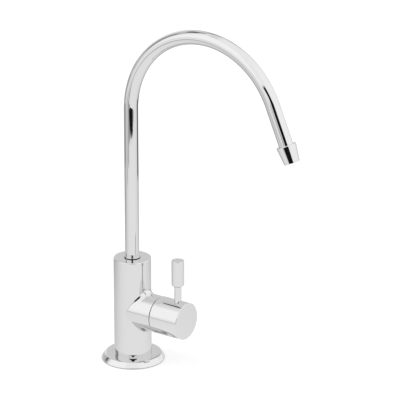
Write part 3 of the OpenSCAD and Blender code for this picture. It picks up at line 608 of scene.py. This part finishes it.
def tube_run(radius, stops, steps):
    """Stretches of one radius between the stops, each in its number of steps."""
    return np.vstack([line((radius, a), (radius, b), n) for a, b, n in zip(stops[:-1], stops[1:], steps)])


tube_turn = TURN[::2]
bore_r = tube_r - TUBE_WALL
stops = [tube_low[2], bend_z, bend_end, nozzle_start + TUBE_IN_NOZZLE]
tube = np.vstack([tube_run(tube_r, stops, TUBE_STEPS), line((tube_r, stops[-1]), (bore_r, stops[-1])),
                  tube_run(bore_r, stops[::-1], TUBE_STEPS), line((bore_r, stops[0]), (tube_r, stops[0]))])
piece("gooseneck_tube", [turned(tube, gooseneck, tube_turn)], chrome, "spout", "chrome", "spout_tube")

# Spigot
# A turned brass sleeve brazed to the foot of the tube and plated with it. It turns in the body's
# socket on two rings, a clip keeps it there, and only its thin collar shows above a nylon washer.
spigot_low, spigot_high = corners("spout_spigot")
collar_r = spigot_high[0]
COLLAR_GAP = 0.02
collar_z = corners("bearing_washer")[1, 2] + COLLAR_GAP
SPIGOT_R = 5.5
SPIGOT_LEAD = (0.4, 0.6)
COLLAR_BREAK = 0.1
TUBE_SEAT_R = 5.02
GROOVES = ((4.46, 59.88, 61.32), (4.46, 62.48, 63.92), (4.4, 66.08, 67.12))
grooves = [point for r, low, high in GROOVES
           for point in ((SPIGOT_R, low), (r, low), (r, high), (SPIGOT_R, high))]
spigot_foot, collar_top = spigot_low[2], spigot_high[2]
spigot = path_of([
    (bore_r, spigot_foot), (SPIGOT_R - SPIGOT_LEAD[0], spigot_foot),
    (SPIGOT_R, spigot_foot + SPIGOT_LEAD[1]),
    *grooves, (SPIGOT_R, collar_z), (collar_r, collar_z), (collar_r, collar_top - COLLAR_BREAK),
    (collar_r - COLLAR_BREAK, collar_top), (TUBE_SEAT_R, collar_top), (TUBE_SEAT_R, tube_low[2]),
    (bore_r, tube_low[2]), (bore_r, spigot_foot)])
piece("spigot_sleeve", [turned(spigot, UP, tube_turn)], chrome, "spout", "chrome", "spout_spigot")

# Nozzle
# A turned brass cone, chrome plated, pressed on the end of the tube. A lip at its mouth holds
# the flow straightener.
NOZZLE_TOP_R = 6.9
NOZZLE_MOUTH_R = 5.5
NOZZLE_LENGTH = 12.6
NOZZLE_EDGE_R = 0.5
NOZZLE_LIP = (3.8, 1)
NOZZLE_BORE_R = 4.4
lean = np.degrees(np.arctan((NOZZLE_TOP_R - NOZZLE_MOUTH_R) / NOZZLE_LENGTH))
mouth = nozzle_start + NOZZLE_LENGTH
step = nozzle_start + TUBE_IN_NOZZLE
lip_r, lip = NOZZLE_LIP[0], mouth - NOZZLE_LIP[1]
top_edge = arc((NOZZLE_TOP_R - NOZZLE_EDGE_R, nozzle_start + NOZZLE_EDGE_R), NOZZLE_EDGE_R, -90, lean)
mouth_edge = arc((NOZZLE_MOUTH_R - NOZZLE_EDGE_R, mouth - NOZZLE_EDGE_R), NOZZLE_EDGE_R, lean, 90)
nozzle = np.vstack([
    line((tube_r, nozzle_start), top_edge[0, :2]), top_edge,
    line(top_edge[-1, :2], mouth_edge[0, :2]), mouth_edge,
    path_of([mouth_edge[-1, :2], (lip_r, mouth), (lip_r, lip), (NOZZLE_BORE_R, lip), (NOZZLE_BORE_R, step),
             (tube_r, step), (tube_r, nozzle_start)])])
piece("nozzle_cone", [turned(nozzle, gooseneck, tube_turn)], chrome, "spout", "chrome", "nozzle")

# Flow straightener
# A small grey plug with nineteen holes, moulded in acetal and snapped in behind the nozzle's lip.
# Moulded acetal: an even grey with a waxy sheen.
acetal, tree, shader, place = blank("grey_acetal")
ACETAL = "#8e9194"
WAX_MM = 0.6
ACETAL_ROUGH = (0.3, 0.45)
wax = add(tree, "ShaderNodeTexNoise", {"Vector": place, "Scale": 1 / (WAX_MM * MM), "Detail": 2})
waxy = add(tree, "ShaderNodeMapRange", {"Value": wax.outputs["Fac"],
                                        "To Min": ACETAL_ROUGH[0], "To Max": ACETAL_ROUGH[1]})
shader.inputs["Base Color"].default_value = linear(ACETAL)
tree.links.new(waxy.outputs["Result"], shader.inputs["Roughness"])
dress(acetal, "flow_straightener")

# Worktop, light and camera
# A white worktop in a pale light tent: bright panels to the left and right, a greyer back, and
# a dark opening at the front edge of the worktop, through which a long lens looks in.
WORKTOP = "#d8d8d8"
WHITE_LIGHT = "#ffffff"
WORKTOP_DROP = 0.0001
WORKTOP_FRONT = 0.505
WORKTOP_REACH = 3
WORKTOP_GLOW = 0.45
CAMERA_AZIMUTH = 35.2


def heading(azimuth, distance, height=0.0):
    """Point at a distance from the tap's axis, with azimuth 0 at -Y and 90 at +X, in degrees."""
    angle = np.radians(azimuth)
    return np.array([distance * np.sin(angle), -distance * np.cos(angle), height])


front = heading(CAMERA_AZIMUTH, WORKTOP_FRONT, -WORKTOP_DROP)
aside = heading(CAMERA_AZIMUTH + 90, WORKTOP_REACH)
back = heading(CAMERA_AZIMUTH + 180, WORKTOP_REACH, -WORKTOP_DROP)
worktop_mesh = bpy.data.meshes.new("worktop")
worktop_mesh.from_pydata([front + aside, back + aside, back - aside, front - aside], [], [(0, 1, 2, 3)])
worktop = bpy.data.objects.new("worktop", worktop_mesh)
bpy.context.scene.collection.objects.link(worktop)
white, tree, shader, place = blank("white_worktop")
shader.inputs["Base Color"].default_value = linear(WORKTOP)
shader.inputs["Roughness"].default_value = 1
shader.inputs["Specular IOR Level"].default_value = 0
shader.inputs["Emission Color"].default_value = linear(WHITE_LIGHT)
shader.inputs["Emission Strength"].default_value = WORKTOP_GLOW
# In the plating the worktop shows painted light, an emission seen only by mirrored rays. It is bright to
# the front and right, with painted shade falling off to the sides and behind, the more so further out. It
# lifts a little far away, and has a painted shadow under the flange's edge. Sectors of it are painted
# darker where the tent leaves
# gaps: azimuth, half width in degrees, from and to in metres, share left.
WORKTOP_BRIGHT = 1.04
BRIGHT_AZIMUTH = 48
FALL = (0.385, 0.75)
FALL_RANGE = (0.12, 0.35)
FALL_POWER = 2.2
CONTACT_SHADE = 0.4
CONTACT_RANGE = (0.0227, 0.027)
FAR_LIFT = 0.18
FAR_RANGE = (0.62, 0.75)
SECTORS = [
    (165, 22, 0.385, 0.62, 0.25),
    (-30, 6, 0.37, 0.62, 0.65),
    (-72, 12, 0.42, 0.66, 0.65),
    (-8, 6, 0.42, 0.66, 0.45),
    (8, 8, 0.485, 0.66, 0.3),
    (56, 9, 0.505, 0.9, 0.05),
    (74, 9, 0.54, 0.9, 0.6),
    (-84, 9, 0.72, 2, 0.6),
]
SECTOR_SOFT = 4
SECTOR_EDGE = 0.02
way = add(tree, "ShaderNodeVectorMath", {0: place}, operation="NORMALIZE").outputs["Vector"]
ahead = add(tree, "ShaderNodeVectorMath", {0: way, 1: heading(BRIGHT_AZIMUTH, 1)}, operation="DOT_PRODUCT")
behind = add(tree, "ShaderNodeMapRange", {"Value": ahead.outputs["Value"], "From Min": 1, "From Max": -1})
side = add(tree, "ShaderNodeMath", {0: behind.outputs[0], 1: FALL_POWER}, operation="POWER")
apart = add(tree, "ShaderNodeVectorMath", {0: place}, operation="LENGTH").outputs["Value"]
depth = add(tree, "ShaderNodeMapRange", {"Value": apart,
                                         "From Min": FALL_RANGE[0], "From Max": FALL_RANGE[1],
                                         "To Min": -FALL[0], "To Max": -FALL[1]})
painted_glow_strength = add(tree, "ShaderNodeMath", {0: side.outputs[0], 1: depth.outputs[0], 2: WORKTOP_BRIGHT},
            operation="MULTIPLY_ADD")
# Painted shadow in the worktop's glow, close under the flange's edge.
contact = add(tree, "ShaderNodeMapRange", {"Value": apart, "From Min": CONTACT_RANGE[0],
                                           "From Max": CONTACT_RANGE[1], "To Min": CONTACT_SHADE})
painted_glow_strength = add(tree, "ShaderNodeMath", {0: painted_glow_strength.outputs[0], 1: contact.outputs[0]}, operation="MULTIPLY")
far = add(tree, "ShaderNodeMapRange", {"Value": apart, "From Min": FAR_RANGE[0], "From Max": FAR_RANGE[1],
                                       "To Max": FAR_LIFT})
painted_glow_strength = add(tree, "ShaderNodeMath", {0: painted_glow_strength.outputs[0], 1: far.outputs[0]}, operation="ADD")
# Painted shade: each sector darkens the worktop's glow where the tent leaves a gap.
for azimuth, half, start, end, share in SECTORS:
    inner, outer = np.cos(np.radians([half - SECTOR_SOFT, half + SECTOR_SOFT]))
    along = add(tree, "ShaderNodeVectorMath", {0: way, 1: heading(azimuth, 1)}, operation="DOT_PRODUCT")
    within = add(tree, "ShaderNodeMapRange", {"Value": along.outputs["Value"],
                                              "From Min": outer, "From Max": inner},
                 interpolation_type="SMOOTHSTEP")
    past = add(tree, "ShaderNodeMapRange", {"Value": apart, "From Min": start,
                                            "From Max": start + SECTOR_EDGE, "To Max": share - 1})
    short = add(tree, "ShaderNodeMapRange", {"Value": apart, "From Min": end + SECTOR_EDGE,
                                             "From Max": end})
    ring = add(tree, "ShaderNodeMath", {0: past.outputs[0], 1: short.outputs[0]}, operation="MULTIPLY")
    dark = add(tree, "ShaderNodeMath", {0: within.outputs[0], 1: ring.outputs[0], 2: 1},
               operation="MULTIPLY_ADD")
    painted_glow_strength = add(tree, "ShaderNodeMath", {0: painted_glow_strength.outputs[0], 1: dark.outputs[0]}, operation="MULTIPLY")
# The worktop's painted light and shade, as an emission that mirrored rays see in place of the plain
# worktop.
painted_glow = add(tree, "ShaderNodeEmission", {"Color": linear(WHITE_LIGHT), "Strength": painted_glow_strength.outputs[0]})
path = add(tree, "ShaderNodeLightPath", {}).outputs
seen = add(tree, "ShaderNodeMath", {0: path["Is Glossy Ray"], 1: path["Is Transmission Ray"]},
           operation="MAXIMUM")
both = add(tree, "ShaderNodeMixShader", {0: seen.outputs[0], 1: shader.outputs[0], 2: painted_glow.outputs[0]})
# From below it is clear, so that the fixings under it can be seen.
below = add(tree, "ShaderNodeNewGeometry", {}).outputs["Backfacing"]
clear = add(tree, "ShaderNodeBsdfTransparent", {})
both = add(tree, "ShaderNodeMixShader", {0: below, 1: both.outputs[0], 2: clear.outputs[0]})
tree.links.new(both.outputs[0], tree.nodes["Material Output"].inputs["Surface"])
worktop_mesh.materials.append(white)

# Panels of the tent: azimuth, half its width, how much of that is lost for each degree upwards, lower and
# upper elevation, softness, all in degrees, and brightness. Each is laid over those before it. They are the
# walls and the bright sheets, then the dark frame behind, then the opening at the front.
AMBIENT = 0.85
BACKDROP = 1.0
TENT_TOP = 1.13
PANELS = [
    (-112, 42, 0, -90, 56, 7, 0.82),
    (-157, 16, 0, -90, 36, 8, 0.78),
    (-27, 33, 0, -90, 58, 8, 1.24),
    (-33, 30, 0, -90, 2, 10, 0.95),
    (105, 45, 0, 5, 60, 12, 1.2),
    (-125, 12, 0, -90, 25, 5, 1.1),
    (-88, 18, 0, -90, 40, 6, 0.62),
    (-82, 4.5, 0, 8, 34, 3, 0.12),
    (-163, 5, 0, 24, 36, 4, 0.5),
    (-149, 5, 0, 28, 41, 3, 0.3),
    (-138, 5, 0, 43, 48, 3, 0.4),
    (-127, 5, 0, 49, 54, 3, 0.45),
    (-97, 9, 0, 42, 53, 3, 0.01),
    (-108.5, 7, 0, 42, 58, 2, 0.01),
    (-95, 45, 0, 63, 72, 4, 0.88),
    (35, 33, 0, -60, -1, 3, 0.01),
    (39, 19.5, 0, -10, 18, 3, 0.01),
    (36, 46, 1.6, 10, 28, 3, 0.01),
]
world = bpy.data.worlds.new("light_tent")
bpy.context.scene.world = world
world.use_nodes = True
tree = world.node_tree
towards = add(tree, "ShaderNodeTexCoord", {}).outputs["Generated"]
height = add(tree, "ShaderNodeSeparateXYZ", {0: towards}).outputs["Z"]
level = add(tree, "ShaderNodeMath", {0: height}, operation="ARCSINE").outputs[0]
glare = TENT_TOP
for azimuth, half, taper, low, high, soft, strength in PANELS:
    turned_to = add(tree, "ShaderNodeVectorRotate", {"Vector": towards, "Angle": np.radians(90 - azimuth)},
                    rotation_type="Z_AXIS").outputs[0]
    across = add(tree, "ShaderNodeSeparateXYZ", {0: turned_to}).outputs
    away = add(tree, "ShaderNodeMath", {0: across["Y"], 1: across["X"]}, operation="ARCTAN2").outputs[0]
    away = add(tree, "ShaderNodeMath", {0: away}, operation="ABSOLUTE").outputs[0]
    away = add(tree, "ShaderNodeMath", {0: level, 1: taper, 2: away}, operation="MULTIPLY_ADD").outputs[0]
    cover = 1.0
    for measure, outer, inner in ((away, half + soft, half - soft), (level, low - soft, low + soft),
                                  (level, high + soft, high - soft)):
        fade = add(tree, "ShaderNodeMapRange", {"Value": measure, "From Min": np.radians(outer),
                                                "From Max": np.radians(inner)},
                   interpolation_type="SMOOTHSTEP")
        cover = add(tree, "ShaderNodeMath", {0: cover, 1: fade.outputs[0]}, operation="MULTIPLY").outputs[0]
    glare = add(tree, "ShaderNodeMix", {"Factor": cover, "A": glare, "B": strength}).outputs[0]
path = add(tree, "ShaderNodeLightPath", {}).outputs
mirrored = add(tree, "ShaderNodeMath", {0: path["Is Glossy Ray"], 1: path["Is Transmission Ray"]},
               operation="MAXIMUM")
light = add(tree, "ShaderNodeMix", {"Factor": mirrored.outputs[0], "A": AMBIENT, "B": glare}).outputs[0]
light = add(tree, "ShaderNodeMix", {"Factor": path["Is Camera Ray"], "A": light, "B": BACKDROP}).outputs[0]
tree.links.new(light, tree.nodes["Background"].inputs["Strength"])
tree.nodes["Background"].inputs["Color"].default_value = linear(WHITE_LIGHT)

LAMP_SIZE = 1.2
LAMP_WATTS = 6
LAMP_AZIMUTH = -30
LAMP_DISTANCE = 0.9
LAMP_HEIGHT = 1.5
LAMP_TILT = 31
lamp = bpy.data.objects.new("soft_key", bpy.data.lights.new("soft_key", "AREA"))
bpy.context.scene.collection.objects.link(lamp)
lamp.data.size = LAMP_SIZE
lamp.data.energy = LAMP_WATTS
lamp.location = heading(LAMP_AZIMUTH, LAMP_DISTANCE, LAMP_HEIGHT)
lamp.rotation_euler = np.radians((LAMP_TILT, 0, LAMP_AZIMUTH))
lamp.visible_glossy = False

CAMERA_PLACE = (1.0874, -1.4581, 0.7741)
CAMERA_TILT = 70.22
CAMERA_LENS = 246.8
CAMERA_SIGHT = 20
camera = bpy.data.objects.new("camera", bpy.data.cameras.new("camera"))
bpy.context.scene.collection.objects.link(camera)
camera.location = CAMERA_PLACE
camera.rotation_euler = np.radians((CAMERA_TILT, 0, CAMERA_AZIMUTH))
camera.data.lens = CAMERA_LENS
camera.data.clip_end = CAMERA_SIGHT
bpy.context.scene.camera = camera
bpy.context.scene.view_settings.view_transform = "Standard"
